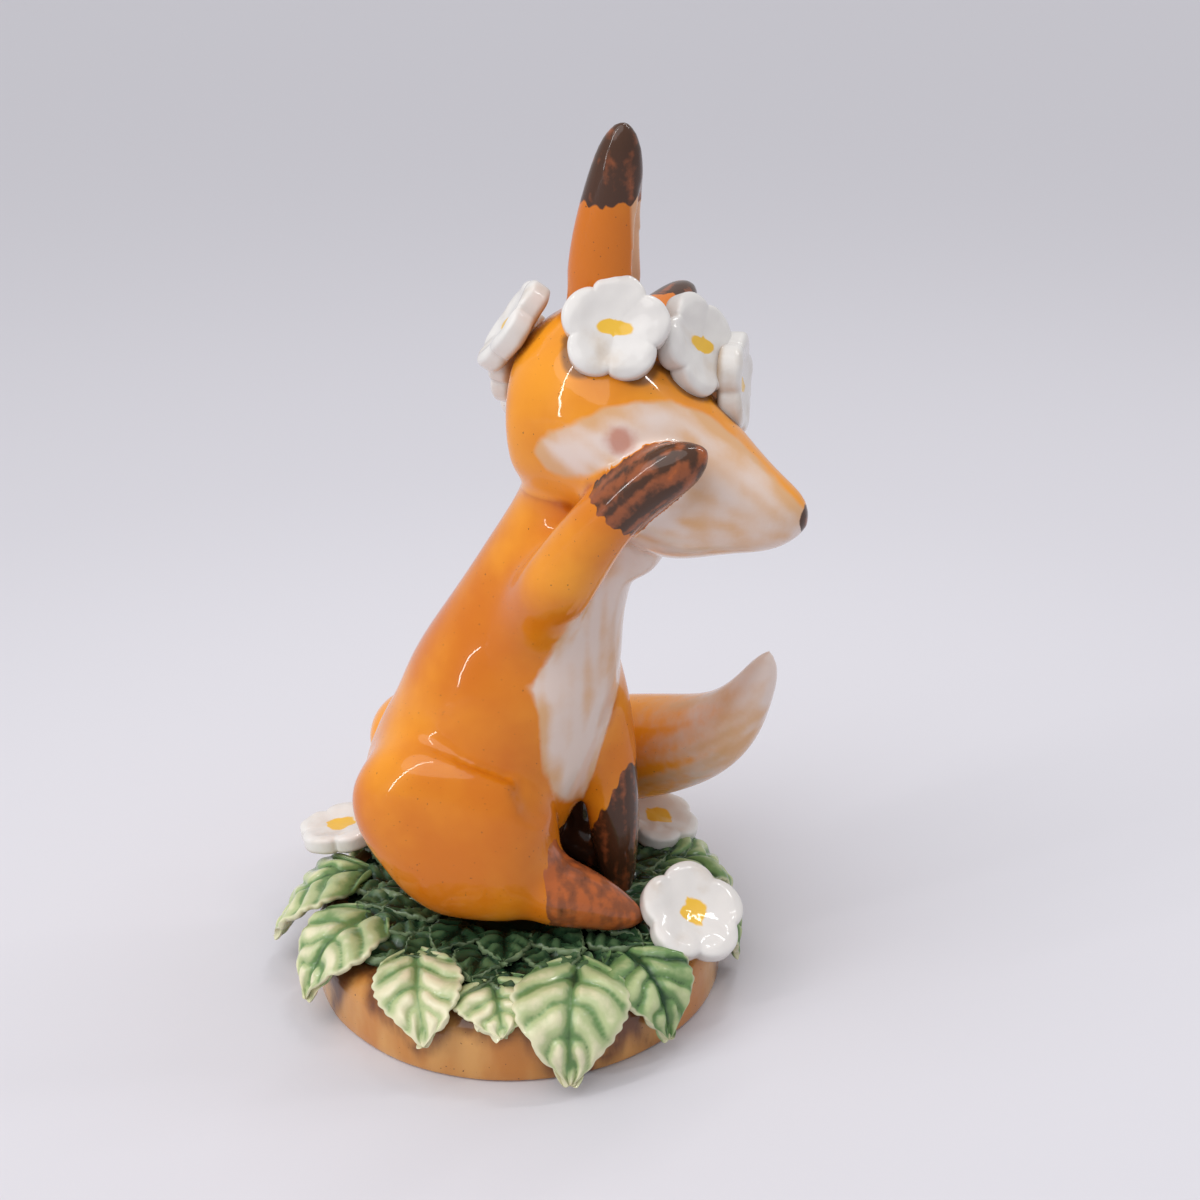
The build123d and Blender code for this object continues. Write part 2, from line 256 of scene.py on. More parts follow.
bpy.ops.object.select_all(action="DESELECT")
bpy.ops.mesh.primitive_uv_sphere_add(segments=96, ring_count=64, radius=1)
bed = bpy.context.object
bed.name = "foliage_clay"
for vertex in bed.data.vertices:
    x, y = vertex.co.x * bed_radius, vertex.co.y * bed_radius
    dome = bed_seat_height - (bed_seat_height - bed_rim_height) * (x * x + y * y) / bed_radius ** 2
    height = dome + bed_lumps * noise.noise((x * bed_lump_scale, y * bed_lump_scale, 0))
    vertex.co = (x, y, plinth_height + (height if vertex.co.z > 0 else -bed_sunk))
for name, value in (("relief", 0.1), ("rim", 0.0), ("dark", 1.0)):
    write_attribute(bed, name, [value] * len(bed.data.vertices))
bpy.ops.object.shade_smooth()

leaf_vein_pairs = 4.6
leaf_vein_rise = 0.24
leaf_vein_wobble = 0.08
leaf_midrib = 0.0012
leaf_relief = 0.0011
leaf_full_relief = 0.004
leaf_lumps = 0.0005
leaf_sway = 0.0009
leaf_teeth = 11
leaf_tooth = 0.0005
leaf_clay = 0.0018
leaf_rim_share = 0.45
leaf_end_half = 0.00018
leaf_rim_lift = 0.0004
leaf_full_lift = 0.005
leaf_stem_sunk = 0.0014
leaf_stem_dark = 0.75
leaf_tip_light = 0.12
settling_steps = 14


def over_plinth(place, outward, layer):
    """Slide a place along a direction until it lies a layer's thickness over the plinth."""
    for step in range(settling_steps):
        beyond = hypot(place.x, place.y) - (plinth_radius - plinth_shoulder)
        above = place.z - (plinth_height - plinth_shoulder)
        inside = min(max(beyond, above), 0.0)
        distance = hypot(max(beyond, 0.0), max(above, 0.0)) + inside - plinth_shoulder - layer
        place = place - outward * distance
    return place


def clamped(value):
    """Value held between 0 and 1."""
    return min(max(value, 0.0), 1.0)


def clay_leaf(
        name, stem_bearing, stem_radius, tip_bearing, length, width, thickness, flare, darkness, slope, rows):
    """One clay leaf bent over the plinth, with its relief and glaze values: mm and degrees."""
    bpy.ops.object.select_all(action="DESELECT")
    bpy.ops.mesh.primitive_grid_add(x_subdivisions=rows * 4 // 9, y_subdivisions=rows, size=2)
    leaf = bpy.context.object
    leaf.name = name
    bearing, heading = radians(stem_bearing), radians(tip_bearing)
    stem = Vector((stem_radius * cos(bearing), stem_radius * sin(bearing), plinth_height * 1000)) / 1000
    along = Vector((cos(heading) * cos(slope), sin(heading) * cos(slope), -sin(slope)))
    outward = Vector((cos(heading) * sin(slope), sin(heading) * sin(slope), cos(slope)))
    side = along.cross(outward)
    seed = stem_bearing * 0.37
    reliefs, rims, darks, bodies = [], [], [], []
    for vertex in leaf.data.vertices:
        across, share = vertex.co.x, clamped((vertex.co.y + 1) / 2)
        out = abs(across)
        hand = 1 if across > 0 else -1
        half = max(width / 2000 * abs(sin(pi * share ** 0.75)) ** 0.92, leaf_end_half)
        scallop = abs(sin(pi * leaf_teeth * share)) - 0.5
        tooth = out ** 8 * leaf_tooth * scallop * sin(pi * share) ** 0.5 if 0 < share < 1 else 0.0
        sway = leaf_sway * noise.noise((share * 2.2, seed, 1.5)) * share
        wobble = leaf_vein_wobble * noise.noise((share * 4, across * 2, seed))
        phase = (share - leaf_vein_rise * out ** 1.3 + wobble) * leaf_vein_pairs
        cushion = abs(sin(pi * phase)) ** 0.75
        midrib = max(0.0, 1 - out * half / leaf_midrib) ** 1.2 * min(1.0, (1 - share) * 6)
        relief = (0.15 + 0.85 * cushion) * (1 - midrib) * (1 - 0.3 * out ** 5)
        lumps = leaf_lumps * noise.noise((across * 2.5, share * 4, seed))
        puff = (relief - 0.5) * leaf_relief * min(1.0, half / leaf_full_relief) + lumps
        layer = thickness / 1000 + puff + flare / 1000 * share ** 2.5
        layer += leaf_rim_lift * out ** 3 * share * min(1.0, half / leaf_full_lift)
        layer -= leaf_stem_sunk * (1 - share) ** 5
        place = stem + side * (across * half + hand * tooth + sway) + along * (length / 1000 * share)
        vertex.co = over_plinth(place, outward, layer)
        reliefs.append(relief)
        rims.append(max(out ** 6 * min(1.0, share * 3), share ** 16))
        bodies.append(1 - max(out ** 3, share ** 6))
        darks.append(darkness + leaf_stem_dark * (1 - share) ** 2.2 - leaf_tip_light)
    write_attribute(leaf, "relief", reliefs)
    write_attribute(leaf, "rim", rims)
    write_attribute(leaf, "dark", darks)
    body = leaf.vertex_groups.new(name="body")
    for index, weight in enumerate(bodies):
        body.add([index], weight, "REPLACE")
    clay = leaf.modifiers.new("clay", "SOLIDIFY")
    clay.thickness = leaf_clay
    clay.offset = -1
    clay.vertex_group = "body"
    clay.thickness_vertex_group = leaf_rim_share
    bpy.ops.object.modifier_apply(modifier=clay.name)
    leaf.vertex_groups.clear()
    bpy.ops.object.shade_smooth()
    return leaf


sprigs = []
for ring, (ring_radius, count, height) in enumerate(sprig_rings):
    for index in range(count):
        bearing = 360 * (index + 0.5 * ring) / count
        bearing += sprig_scatter * noise.noise((index * 1.7, ring * 3.1, 0.5))
        heading = bearing + sprig_swing * noise.noise((index * 2.3, ring * 1.9, 4.5))
        tint = sprig_darkness + sprig_darkness_spread * noise.noise((index * 3.3, ring * 2.7, 8.5))
        sprigs.append(clay_leaf(
            f"sprig_{ring}_{index}", bearing, ring_radius, heading, sprig_length, sprig_width,
            height, sprig_flare, tint, sprig_slope, sprig_grid_rows))
bpy.ops.object.select_all(action="DESELECT")
for sprig in sprigs:
    sprig.select_set(True)
bed.select_set(True)
bpy.context.view_layer.objects.active = bed
bpy.ops.object.join()

leaf_roughness = 0.25
leaf_coat = 0.5
leaf_ripple_depth = 0.0003
leaf_ripple_strength = 0.25


def leaf_paint(name, deep, green, pale, cream):
    """Glaze that pools dark in the veins and breaks pale on the cushions and the rim."""
    glaze, shader = new_glaze(name, leaf_roughness, leaf_coat)
    dark = attribute_value(glaze, "dark")
    clouds = combine(glaze, "SUBTRACT", noise_value(glaze, 220, 4), 0.5)
    light = total(
        glaze, attribute_value(glaze, "relief"), share_of(glaze, clouds, 1.5), share_of(glaze, dark, -0.7))
    rim = total(glaze, attribute_value(glaze, "rim"), share_of(glaze, dark, -0.35))
    colour = paint(glaze, deep, green, ramp(glaze, light, -0.45, 0.10))
    colour = paint(glaze, colour, pale, ramp(glaze, light, 0.10, 0.60))
    colour = paint(glaze, colour, cream, ramp(glaze, light, 0.60, 1.10))
    colour = paint(glaze, colour, cream, share_of(glaze, ramp(glaze, rim, 0.30, 0.85), 0.75))
    wire(glaze, colour, shader.inputs["Base Color"])
    bump(glaze, shader, noise_value(glaze, 600, 3), leaf_ripple_depth, leaf_ripple_strength)
    return glaze


bed.data.materials.clear()
foliage_deep = (0.006, 0.014, 0.007)
foliage_green = (0.020, 0.055, 0.024)
foliage_pale = (0.070, 0.135, 0.060)
foliage_cream = (0.20, 0.27, 0.14)
bed.data.materials.append(leaf_paint(
    "foliage_glaze", foliage_deep, foliage_green, foliage_pale, foliage_cream))
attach(bed, "root")
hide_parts("foliage_bed")

# Leaves: ovate leaves cut from rolled clay, their veins pressed in and their edges scalloped, bent
# over the plinth's shoulder while soft. Pale glaze breaks on the cushions and green fills the veins.
leaf_slope = radians(45)
leaf_grid_rows = 60
# Each row: bearing and radius of the stem, bearing of the tip, length, width and thickness of the layer,
# flare of the tip away from the plinth, in mm and degrees, and darkness of the glaze
leaf_rows = [
    (-43, 19.6, -79, 19.4, 16.8, 3.0, 1.6, 0.08),
    (-29, 20.4, -40, 16.0, 13.8, 2.6, 0.4, 0.62),
    (-120, 20.8, -66, 16.2, 13.0, 2.8, 0.6, -0.22),
    (-150, 20.0, -112, 17.4, 15.8, 3.0, 1.2, 0.10),
    (-178, 23.0, -140, 17.6, 16.8, 3.4, 3.4, 0.22),
    (158, 21.5, 165, 15.5, 14.5, 2.6, 0.6, 0.45),
    (126, 21.0, 122, 15.0, 14.0, 2.6, 0.5, 0.35),
    (94, 20.5, 90, 15.5, 14.5, 2.6, 0.5, 0.25),
    (63, 21.0, 60, 15.0, 14.0, 2.6, 0.5, 0.40),
    (34, 21.5, 30, 15.0, 14.0, 2.6, 0.5, 0.55),
    (6, 22.5, 4, 14.5, 13.0, 2.6, 0.5, 0.60),
    (-84, 21.0, -61, 10.8, 13.0, 2.0, 0.8, 0.05),
    (142, 22.0, 144, 15.0, 12.0, 1.7, 0.3, 0.5),
    (110, 22.0, 106, 15.0, 12.0, 1.7, 0.3, 0.4),
    (78, 22.0, 75, 15.0, 12.0, 1.7, 0.3, 0.45),
    (48, 22.0, 45, 15.0, 12.0, 1.7, 0.3, 0.5),
    (20, 22.5, 17, 14.0, 12.0, 1.7, 0.3, 0.6),
]
leaf_deep = (0.018, 0.056, 0.022)
leaf_green = (0.150, 0.265, 0.095)
leaf_pale = (0.46, 0.53, 0.27)
leaf_cream = (0.78, 0.73, 0.50)
leaf_glaze = leaf_paint("leaf_glaze", leaf_deep, leaf_green, leaf_pale, leaf_cream)
for number, row in enumerate(leaf_rows, start=1):
    leaf = clay_leaf(f"clay_leaf_{number:02d}", *row, leaf_slope, leaf_grid_rows)
    rounding = leaf.modifiers.new("rounding", "SUBSURF")
    rounding.levels = rounding.render_levels = 1
    bpy.ops.object.modifier_apply(modifier=rounding.name)
    leaf.data.materials.append(leaf_glaze)
    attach(leaf, "root")
    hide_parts(f"leaf_{number:02d}")

# Fox: a hand-modelled figure in one skin of clay. Its limbs, ears and tail were rolled, pressed on
# and smoothed in with slip before firing. Orange, cream and brown are brushed on under clear glaze.
fox_nodes = [
    "torso", "head", "right_ear", "left_ear", "right_foreleg", "left_foreleg",
    "right_haunch", "left_haunch", "right_hind_foot", "left_hind_foot", "tail",
]
skin_grain = 0.00052
seam_overlap = 0.00022
seam_reach = 0.0030
slip_reach = 0.0060
haunch_centre = Vector((-0.0066, 0.0094, 0.0294))
haunch_half_sizes = Vector((0.0158, 0.0100, 0.0150))
haunch_squareness = 2.9
haunch_swell = 1.04
haunch_skin_share = 0.98
haunch_still_reach = 0.012
# Fullness of the haunch: bearing in the side view, half spread in degrees and share added
haunch_fullness = ((-42, 24, 0.22), (37, 22, 0.05))
shoulder_place = Vector((0.003, -0.006, 0.0575))
wrist_place = Vector((0.0266, -0.0172, 0.0885))
shoulder_start = -0.12
shoulder_blend = 0.55
throat_place = Vector((0.0185, 0, 0.0718))
throat_half_sizes = (0.0048, 0.0050, 0.0046)
throat_reach = 0.0085
rump_pull = 0.0028
rump_top, rump_depth = 0.036, 0.016
rump_front, rump_length = -0.002, 0.014


def surface_of(node):
    """Search tree over the faces of a CAD node."""
    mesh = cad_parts[node].data
    return bvhtree.BVHTree.FromPolygons(
        [vertex.co for vertex in mesh.vertices], [list(face.vertices) for face in mesh.polygons])


torso_surface = surface_of("torso")
leg_surface = surface_of("left_foreleg")


def eased(value):
    """Value held between 0 and 1, with a soft start and a soft end."""
    value = clamped(value)
    return value * value * (3 - 2 * value)


def press_shoulder(limb):
    """Press the root of the raised foreleg down to the chest, so that it rises gradually from it."""
    reach = wrist_place - shoulder_place
    for vertex in limb.data.vertices:
        share = (vertex.co - shoulder_place).dot(reach) / reach.length_squared
        surface, normal, face, distance = torso_surface.find_nearest(vertex.co)
        stand = (vertex.co - surface).dot(normal)
        if stand > 0:
            vertex.co -= normal * stand * (1 - eased((share - shoulder_start) / shoulder_blend))


def fill_haunch(limb):
    """Fill out the knee of a haunch, seen from the side, and let the rim of its thigh stand out."""
    for vertex in limb.data.vertices:
        hand = 1 if vertex.co.y > 0 else -1
        forward, up = vertex.co.x - haunch_centre.x, vertex.co.z - haunch_centre.z
        aside = abs(vertex.co.y) - haunch_centre.y
        out = hypot(forward / haunch_half_sizes.x, up / haunch_half_sizes.z)
        if aside > 0 and hypot(out, aside / haunch_half_sizes.y) > haunch_skin_share:
            crown = max(0.0, 1 - min(out, 1.0) ** haunch_squareness) ** (1 / haunch_squareness)
            vertex.co.y = hand * (haunch_centre.y + haunch_half_sizes.y * haunch_swell * crown)
        bearing = degrees(atan2(up, forward))
        fullness = sum(
            share * exp(-((bearing - middle) / spread) ** 2) for middle, spread, share in haunch_fullness)
        fullness *= min(1.0, hypot(forward, up) / haunch_still_reach)
        vertex.co.x += forward * fullness
        vertex.co.z += up * fullness


bpy.ops.object.select_all(action="DESELECT")
limbs = []
for node in fox_nodes:
    limb = bpy.data.objects.new(f"fox_{node}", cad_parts[node].data.copy())
    limb.data.materials.clear()
    bpy.context.scene.collection.objects.link(limb)
    bpy.ops.object.select_all(action="DESELECT")
    limb.select_set(True)
    bpy.context.view_layer.objects.active = limb
    bpy.ops.object.mode_set(mode="EDIT")
    bpy.ops.mesh.select_all(action="SELECT")
    bpy.ops.mesh.remove_doubles(threshold=0.00001)
    bpy.ops.object.mode_set(mode="OBJECT")
    if node == "right_foreleg":
        press_shoulder(limb)
    elif node.endswith("haunch"):
        fill_haunch(limb)
    for vertex, outward in [(vertex, vertex.normal.copy()) for vertex in limb.data.vertices]:
        vertex.co += outward * seam_overlap
    limbs.append(limb)
bpy.ops.mesh.primitive_uv_sphere_add(
    segments=48, ring_count=32, radius=1, location=throat_place, scale=throat_half_sizes)
bpy.ops.object.transform_apply(location=True, rotation=True, scale=True)
limbs.append(bpy.context.object)
for limb in limbs:
    limb.select_set(True)
fox = limbs[0]
bpy.context.view_layer.objects.active = fox
bpy.ops.object.join()
fox.name = "fox_skin"
for vertex in fox.data.vertices:
    low, behind = (rump_top - vertex.co.z) / rump_depth, (rump_front - vertex.co.x) / rump_length
    vertex.co.x += rump_pull * eased(low) * eased(behind)
skin = fox.modifiers.new("skin", "REMESH")
skin.mode = "VOXEL"
skin.voxel_size = skin_grain
bpy.ops.object.modifier_apply(modifier=skin.name)

limb_trees = [tree_of([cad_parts[node].data]) for node in fox_nodes]
slipped_pairs = [
    {"torso", "head"}, {"torso", "right_foreleg"}, {"torso", "left_foreleg"}, {"torso", "tail"},
    {"head", "right_ear"}, {"head", "left_ear"}, {"right_haunch", "right_hind_foot"},
    {"left_haunch", "left_hind_foot"},
]
haunch_crease_front = -0.004
thigh_slip_length = 0.010
crisp_seam_share = 0.3
# Shares of dark rust painted along the seams: glaze pooled in the creases, and painted shade where the parts
# meet.
crisp_crease, thigh_back_crease, shoulder_crease, plain_crease = 0.75, 0.2, 0.3, 1.0
seam_strokes, slip_strokes, sponge_strokes = 30, 160, 5
stroke_strength = 0.5
seam = fox.vertex_groups.new(name="seam")
slip = fox.vertex_groups.new(name="slip")
fox_limb, seam_values = [], []
for vertex in fox.data.vertices:
    near = sorted((tree.find(vertex.co)[2], fox_nodes[index]) for index, tree in enumerate(limb_trees))
    fox_limb.append(near[0][1])
    closeness = max(0.0, 1 - near[1][0] / seam_reach)
    slip_weight = max(0.0, 1 - near[1][0] / slip_reach)
    pair = {near[0][1], near[1][1]}
    thigh = pair in ({"torso", "right_haunch"}, {"torso", "left_haunch"})
    crisp = thigh and vertex.co.x > haunch_crease_front
    if crisp:
        crease_pool_and_shade = crisp_crease
    elif thigh:
        crease_pool_and_shade = thigh_back_crease
    elif pair == {"torso", "right_foreleg"}:
        crease_pool_and_shade = shoulder_crease
    else:
        crease_pool_and_shade = plain_crease
    seam_values.append(closeness * crease_pool_and_shade)
    seam.add([vertex.index], closeness * (crisp_seam_share if crisp else 1.0), "REPLACE")
    if pair in slipped_pairs and near[2][0] > seam_reach:
        slip.add([vertex.index], slip_weight, "REPLACE")
    elif thigh:
        back_share = clamped((haunch_crease_front - vertex.co.x) / thigh_slip_length)
        slip.add([vertex.index], slip_weight * back_share, "REPLACE")
    throat_distance = (vertex.co - throat_place).length
    if throat_distance < throat_reach:
        slip.add([vertex.index], 1 - throat_distance / throat_reach, "ADD")
for group, strokes in (("seam", seam_strokes), ("slip", slip_strokes), ("", sponge_strokes)):
    sponge = fox.modifiers.new("sponge", "SMOOTH")
    sponge.vertex_group = group
    sponge.factor = stroke_strength
    sponge.iterations = strokes
    bpy.ops.object.modifier_apply(modifier=sponge.name)
bpy.ops.object.shade_smooth()
write_attribute(fox, "crease_pool_and_shade", seam_values)

# The head leans to the left, so its paint is laid out in the head's own upright frame, in mm.
head_centre = Vector((0.014, 0, 0.091))
head_roll = radians(30)
head_frame = Matrix.Translation(head_centre) @ Matrix.Rotation(-head_roll, 4, "X")
head_from_world = head_frame.inverted()
# The cheek's cream field, forwards and up from the middle of the head
cheek_outline = [
    (-4.6, -6.9), (1.6, -5.0), (8.2, -2.0), (12.2, -0.5), (16.5, -1.4), (20.3, -3.2), (27.3, -9.6),
    (34, -14), (34, -32), (-2, -32), (4.5, -16), (5.3, -10.6), (2.3, -11.6), (-1.3, -11.3), (-4.2, -10.6),
    (-5.5, -8.7),
]
# The chest's cream field in the side view, forwards and up from the middle of the plinth's foot
chest_outline = [
    (12.0, 26), (9.8, 31.4), (8.5, 36), (7.9, 42.3), (7.6, 49), (6.3, 53.5), (9.9, 60), (14.3, 67.3),
    (18.5, 75), (19, 82), (40, 82), (40, 20), (14, 20),
]
# Below this height and forward of this place the torso is painted dark brown, as painted shade between the
# legs.
belly_shade_top, belly_shade_front = 26.0, 4.0
sleeve_start, sleeve_end, sleeve_depth = 57.0, 68.0, 8.0
paw_axis = Vector((0.70, -0.11, 0.71))
paw_start = 74.9
hind_foot_start = 9.6
hind_foot_top = 28.0
left_foot_back = 6.0
sock_edge_high = (17.2, 34.5)
sock_edge_slope = 1.98
ear_tip_start = 22.0
left_ear_back = 2.4
nose_tip = Vector((29.8, 0, -12.2))
nose_radius = 2.2
eye_place = Vector((13.5, 11.8, -5.0))
eye_radius = 1.45
ear_hollow = (Vector((6.8, -8.5, 8.5)), Vector((7.3, -21.5, 21.8)))
ear_hollow_radius = 2.5
blush_place = Vector((6.9, -14.8, -7.1))
blush_reach = 2.1
muzzle_start, muzzle_length, muzzle_wash = 10.0, 8.0, 0.14
tail_cream_start, tail_cream_end, tail_cream_edge = 12.0, 32.0, 0.35
edge_wash, edge_wash_reach = 0.30, 2.5
stroke_stretch = 0.88
plain_stroke = Vector((0, 0, 1))
muzzle_stroke = Vector((0.9, 0, -0.4))
tail_stroke = Vector((0.8, -0.3, 0.5))
right_ear_stroke = head_frame.to_3x3() @ Vector((0.1, -0.7, 0.7))
left_ear_stroke = head_frame.to_3x3() @ Vector((0.1, 0.7, 0.7))
unpainted = -9.0
# Reach of the brown round the crown flowers on the head: pooled glaze, and painted shade where they stand off
# it.
flower_pool_and_shade_reach = 0.0016
# Brush for each limb: amber in the orange, tan wash in the cream, red in the brown, fineness of strokes
limb_brush = {
    "head": (0.20, 0.02, 0.0, 0.55),
    # The torso's brown is dark, as it is painted shade under the belly.
    "torso": (0.0, 0.0, -0.6, 0.55),
    "left_foreleg": (0.0, 0.0, 0.0, 0.8),
    "right_foreleg": (0.0, 0.0, 0.45, 0.9),
    # The tail's amber is raised, as painted light against the body's shade on it.
    "tail": (0.36, -0.08, 0.0, 0.55),
    "right_haunch": (0.0, -0.06, 1.5, 0.8),
    "right_hind_foot": (0.0, -0.06, 1.5, 0.8),
    # The far haunch and foot get the darkest brown, as painted shade in the gap under the belly.
    "left_haunch": (0.0, -0.06, -0.6, 0.8),
    "left_hind_foot": (0.0, -0.06, -0.6, 0.8),
    "right_ear": (-0.2, -0.06, -0.25, 0.9),
    "left_ear": (-0.2, -0.06, -0.25, 0.9),
}


def outline_depth(outline, x, y):
    """Distance of a place inside a closed outline, or minus its distance outside."""
    best, inside = 1e9, False
    for (ax, ay), (bx, by) in zip(outline, outline[1:] + outline[:1]):
        share = clamped(((x - ax) * (bx - ax) + (y - ay) * (by - ay)) / ((bx - ax) ** 2 + (by - ay) ** 2))
        best = min(best, hypot(x - ax - share * (bx - ax), y - ay - share * (by - ay)))
        if (ay > y) != (by > y) and x < ax + (y - ay) / (by - ay) * (bx - ax):
            inside = not inside
    return best if inside else -best


def line_distance(place, start, end):
    """Distance of a place from a stretch of line."""
    share = (place - start).dot(end - start) / (end - start).length_squared
    return (place - start.lerp(end, clamped(share))).length


def fox_paint(place, limb):
    """Paint at a place on the fox: mm inside each painted field, and how the brush leaves it."""
    x, y, z = place * 1000
    own = head_from_world @ place * 1000
    near = Vector((own.x, -abs(own.y), own.z))
    cream = brown = pink = unpainted
    amber, wash, red, fineness = limb_brush[limb]
    stroke = plain_stroke
    if limb == "head":
        wash += muzzle_wash * clamped((own.x - muzzle_start) / muzzle_length)
        cream = outline_depth(cheek_outline, own.x, own.z)
        brown = max(nose_radius - (own - nose_tip).length, eye_radius - (own - eye_place).length)
        stroke = muzzle_stroke
    elif limb == "right_foreleg":
        stroke = paw_axis
        along = paw_axis.dot((x, y, z))
        sleeve = clamped((along - sleeve_start) / (sleeve_end - sleeve_start))
        cream = outline_depth(chest_outline, x, z) - sleeve_depth * sleeve
        brown = along - paw_start
    elif limb in ("torso", "left_foreleg"):
        past_leg = leg_surface.find_nearest(place)[3] - torso_surface.find_nearest(place)[3]
        cream = min(outline_depth(chest_outline, x, z), past_leg * 1000)
        if limb == "torso":
            # Painted shade: the torso's low front between the legs is painted dark brown.
            brown = min(belly_shade_top - z, x - belly_shade_front)
        else:
            brown = (x - sock_edge_high[0]) * sock_edge_slope - z + sock_edge_high[1]
            brown /= hypot(1, sock_edge_slope)
    elif limb == "tail":
        cream = (x - tail_cream_start) / (tail_cream_end - tail_cream_start) - tail_cream_edge
        stroke = tail_stroke
    elif limb.endswith("ear"):
        if limb == "left_ear":
            near.x += left_ear_back
        brown = (near.z - near.y) / 2 - ear_tip_start
        pink = ear_hollow_radius - line_distance(near, *ear_hollow)
        stroke = right_ear_stroke if limb == "right_ear" else left_ear_stroke
    else:
        foot_start = hind_foot_start - (left_foot_back if limb.startswith("left") else 0.0)
        brown = min(x - foot_start, hind_foot_top - z)
    blush = blush_reach - (near - blush_place).length
    spot = Vector((x, y, z))
    spot -= stroke.normalized() * spot.dot(stroke.normalized()) * stroke_stretch
    wash += edge_wash * max(0.0, 1 - abs(cream) / edge_wash_reach)
    return cream, brown, pink, blush, red, noise.noise(spot * fineness), amber, wash


paints = [fox_paint(vertex.co, limb) for vertex, limb in zip(fox.data.vertices, fox_limb)]
for index, name in enumerate(("cream", "brown", "pink", "blush", "red", "stroke", "amber", "wash")):
    write_attribute(fox, name, [values[index] for values in paints])
flower_nodes = sorted(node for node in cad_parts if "crown_flower" in node)
flower_tree = tree_of([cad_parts[node].data for node in flower_nodes])
# Brown painted round the crown flowers: glaze pooled at their edges, and painted shade beneath them.
write_attribute(fox, "flower_pool_and_shade", [
    max(0.0, 1 - flower_tree.find(vertex.co)[2] / flower_pool_and_shade_reach) if limb == "head" else 0.0
    for vertex, limb in zip(fox.data.vertices, fox_limb)])

fox_orange = (0.64, 0.168, 0.006)
fox_amber = (0.86, 0.320, 0.018)
fox_rust_pool_and_shade = (0.44, 0.095, 0.006)
fox_cream = (0.76, 0.62, 0.55)
fox_wash = (0.70, 0.40, 0.20)
fox_brown = (0.068, 0.028, 0.014)
fox_chestnut = (0.280, 0.080, 0.028)
fox_russet = (0.50, 0.125, 0.030)
fox_pink = (0.72, 0.40, 0.22)
fox_blush = (0.50, 0.17, 0.105)
fox_speck = (0.070, 0.028, 0.010)
fox_roughness = 0.25
fox_coat = 0.6
fox_ripple_depth = 0.0004
fox_ripple_strength = 0.10
fox_glaze, fox_shader = new_glaze("fox_glaze", fox_roughness, fox_coat)
fox_clouds = noise_value(fox_glaze, 45, 4)
fox_pools = noise_value(fox_glaze, 120, 3)
fox_grit = noise_value(fox_glaze, 2600, 1)
fox_mottle = noise_value(fox_glaze, 110, 5)
fox_bristles = noise_value(fox_glaze, 900, 4)
fox_ripple = noise_value(fox_glaze, 160, 3)
fox_frays = combine(fox_glaze, "SUBTRACT", noise_value(fox_glaze, 420, 4), 0.5)
fox_strokes = attribute_value(fox_glaze, "stroke")
amber_field = total(fox_glaze, attribute_value(fox_glaze, "amber"), fox_clouds)
rust_pool_and_shade_field = total(fox_glaze, attribute_value(fox_glaze, "crease_pool_and_shade"), fox_pools)
cream_field = total(
    fox_glaze, attribute_value(fox_glaze, "cream"), share_of(fox_glaze, fox_frays, 0.7),
    share_of(fox_glaze, fox_strokes, 0.4))
wash_field = total(
    fox_glaze, fox_mottle, attribute_value(fox_glaze, "wash"), share_of(fox_glaze, fox_strokes, 0.22))
blush_field = total(fox_glaze, attribute_value(fox_glaze, "blush"), share_of(fox_glaze, fox_frays, 2.0))
brown_field = total(
    fox_glaze, attribute_value(fox_glaze, "brown"), share_of(fox_glaze, fox_frays, 1.2),
    share_of(fox_glaze, fox_strokes, 1.1))
red_field = total(
    fox_glaze, share_of(fox_glaze, fox_strokes, 0.65), share_of(fox_glaze, fox_bristles, 0.9),
    share_of(fox_glaze, attribute_value(fox_glaze, "red"), 0.40))
flower_pool_and_shade_field = ramp(fox_glaze, attribute_value(fox_glaze, "flower_pool_and_shade"), 0.2, 0.75)
fox_pale = paint(fox_glaze, fox_cream, fox_wash, ramp(fox_glaze, wash_field, 0.44, 0.92))
fox_dark = paint(fox_glaze, fox_brown, fox_chestnut, ramp(fox_glaze, red_field, 0.40, 0.85))
fox_dark = paint(fox_glaze, fox_dark, fox_russet, ramp(fox_glaze, red_field, 0.85, 1.35))
blush_cover = share_of(fox_glaze, ramp(fox_glaze, blush_field, -0.5, 1.1), 0.75)
pink_cover = ramp(fox_glaze, attribute_value(fox_glaze, "pink"), -0.2, 0.5)
fox_colour = paint(fox_glaze, fox_orange, fox_amber, ramp(fox_glaze, amber_field, 0.38, 0.74))
# Dark rust in the seams and in random pools: pooled glaze, and painted shade in the creases.
fox_colour = paint(fox_glaze, fox_colour, fox_rust_pool_and_shade, ramp(fox_glaze, rust_pool_and_shade_field, 1.0, 1.7))
fox_colour = paint(fox_glaze, fox_colour, fox_speck, ramp(fox_glaze, fox_grit, 0.755, 0.785))
fox_colour = paint(fox_glaze, fox_colour, fox_pale, ramp(fox_glaze, cream_field, -0.35, 0.55))
fox_colour = paint(fox_glaze, fox_colour, fox_blush, blush_cover)
fox_colour = paint(fox_glaze, fox_colour, fox_pink, pink_cover)
fox_colour = paint(fox_glaze, fox_colour, fox_dark, ramp(fox_glaze, brown_field, -0.12, 0.12))
# Painted shade and pooled glaze, in brown, round the crown flowers.
fox_colour = paint(fox_glaze, fox_colour, fox_brown, share_of(fox_glaze, flower_pool_and_shade_field, 0.7))
wire(fox_glaze, fox_colour, fox_shader.inputs["Base Color"])
bump(fox_glaze, fox_shader, fox_ripple, fox_ripple_depth, fox_ripple_strength)
fox.data.materials.append(fox_glaze)
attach(fox, "root")
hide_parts(*fox_nodes)

